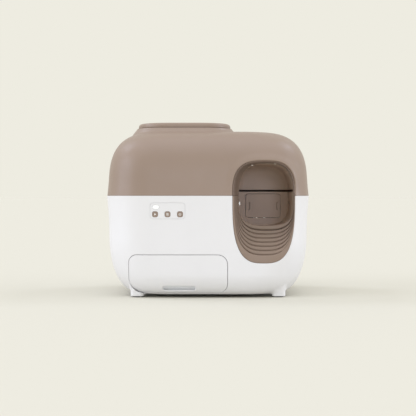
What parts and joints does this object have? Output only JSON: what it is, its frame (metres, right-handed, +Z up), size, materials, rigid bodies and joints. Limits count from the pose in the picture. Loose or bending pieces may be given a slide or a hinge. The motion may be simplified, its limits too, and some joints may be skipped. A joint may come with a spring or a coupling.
{
  "type": "self-cleaning cat litter box with hood",
  "caption": "Rounded two-tone litter box with lift-off hood, stepped side-front doorway, waste drawer, control buttons, rotating litter drum inside and hinged filling lid on top.",
  "frame": {"origin": "on the floor under the middle of the body, between the four foot pads", "axes": "+Z up, the doorway and the drawer face -Y, the doorway is at the +X end"},
  "size_m": [0.622, 0.51, 0.5304],
  "materials": {
    "housing_white": "moulded white ABS, satin gloss",
    "control_panel_white": "moulded white ABS, satin gloss",
    "drawer_white": "moulded white ABS, satin gloss",
    "hood_taupe": "moulded taupe ABS, fine satin texture",
    "steps_taupe": "moulded taupe plastic, matt",
    "passage_taupe": "moulded dark taupe plastic, matt",
    "button_taupe": "soft-touch taupe key caps",
    "light_lens": "milky white light lens",
    "light_grey_plastic": "moulded light grey polypropylene",
    "charcoal_plastic": "moulded charcoal plastic",
    "sensor_lens": "dark infrared window",
    "black_rubber": "soft black rubber",
    "steel": "plated steel",
    "circuit_board": "printed circuit board with solder mask"
  },
  "bodies": {
    "base": {"base_shell": "housing_white", "bottom_plate": "light_grey_plastic", "plate_screw_1": "steel", "plate_screw_2": "steel", "plate_screw_3": "steel", "plate_screw_4": "steel", "foot_front_left": "housing_white", "foot_front_right": "housing_white", "foot_rear_left": "housing_white", "foot_rear_right": "housing_white", "load_cell_front_left": "steel", "load_cell_front_right": "steel", "load_cell_rear_left": "steel", "load_cell_rear_right": "steel", "foot_pad_front_left": "black_rubber", "foot_pad_front_right": "black_rubber", "foot_pad_rear_left": "black_rubber", "foot_pad_rear_right": "black_rubber", "entry_steps": "steps_taupe", "entry_sill": "steps_taupe", "passage_base": "passage_taupe", "jamb_sensor": "light_lens", "control_panel": "control_panel_white", "status_light": "light_lens", "control_board": "circuit_board", "drum_cradle": "light_grey_plastic", "gearbox": "charcoal_plastic", "drive_motor": "steel", "position_sensor": "charcoal_plastic", "main_board": "circuit_board", "power_inlet": "charcoal_plastic", "fan_housing": "charcoal_plastic"},
    "hood": {"hood_shell": "hood_taupe", "passage_hood_liner": "passage_taupe", "presence_sensor_left": "sensor_lens", "presence_sensor_right": "sensor_lens", "lid_hinge_pin": "steel"},
    "lid": {"top_lid": "hood_taupe", "lid_seal": "black_rubber"},
    "drawer": {"drawer_front": "drawer_white", "drawer_finger_cup": "light_grey_plastic", "drawer_tub": "light_grey_plastic", "bag_ring": "charcoal_plastic"},
    "drum": {"drum_bowl": "light_grey_plastic", "drum_front": "light_grey_plastic", "drum_mouth_seal": "black_rubber", "drum_ring_gear": "charcoal_plastic", "litter_mat": "black_rubber", "litter_sieve": "light_grey_plastic"},
    "pinion": {"drive_pinion": "charcoal_plastic"},
    "roller_front": {"front_rollers": "charcoal_plastic"},
    "roller_rear": {"rear_rollers": "charcoal_plastic"},
    "fan": {"fan_rotor": "light_grey_plastic"},
    "cartridge": {"deodoriser_cartridge": "passage_taupe"},
    "button_clean": {"clean_button": "button_taupe"},
    "button_level": {"level_button": "button_taupe"},
    "button_power": {"power_button": "button_taupe"}
  },
  "joints": [
    {"name": "hood_lift_off", "type": "slide", "parent": "base", "child": "hood", "axis": [0, 0, 1], "range_m": [0, 0.22]},
    {"name": "lid_hinge", "type": "hinge", "parent": "hood", "child": "lid", "pos_m": [-0.074, 0.148, 0.5196], "axis": [-1, 0, 0], "range_deg": [0, 105]},
    {"name": "drawer_slide", "type": "slide", "parent": "base", "child": "drawer", "axis": [0, -1, 0], "range_m": [0, 0.4]},
    {"name": "drum_spin", "type": "hinge", "parent": "base", "child": "drum", "pos_m": [0, -0.015, 0.322], "axis": [1, 0, 0], "continuous": true},
    {"name": "pinion_spin", "type": "hinge", "parent": "base", "child": "pinion", "pos_m": [0.034, 0.10642, 0.17729], "axis": [1, 0, 0], "continuous": true},
    {"name": "front_roller_spin", "type": "hinge", "parent": "base", "child": "roller_front", "pos_m": [-0.096, -0.11727, 0.17594], "axis": [1, 0, 0], "continuous": true},
    {"name": "rear_roller_spin", "type": "hinge", "parent": "base", "child": "roller_rear", "pos_m": [-0.096, 0.08727, 0.17594], "axis": [1, 0, 0], "continuous": true},
    {"name": "fan_spin", "type": "hinge", "parent": "base", "child": "fan", "pos_m": [0.1795, 0.132, 0.262], "axis": [0, 1, 0], "continuous": true},
    {"name": "cartridge_pull", "type": "slide", "parent": "base", "child": "cartridge", "axis": [0, -1, 0], "range_m": [0, 0.06]},
    {"name": "clean_press", "type": "slide", "parent": "base", "child": "button_clean", "axis": [0, 1, 0], "range_m": [0, 0.0015], "stiffness_N_per_m": 600},
    {"name": "level_press", "type": "slide", "parent": "base", "child": "button_level", "axis": [0, 1, 0], "range_m": [0, 0.0015], "stiffness_N_per_m": 600},
    {"name": "power_press", "type": "slide", "parent": "base", "child": "button_power", "axis": [0, 1, 0], "range_m": [0, 0.0015], "stiffness_N_per_m": 600}
  ],
  "couplings": [
    {"joint": "pinion_spin", "follows": "drum_spin", "ratio": -4.8},
    {"joint": "front_roller_spin", "follows": "drum_spin", "ratio": -13.833},
    {"joint": "rear_roller_spin", "follows": "drum_spin", "ratio": -13.833}
  ]
}
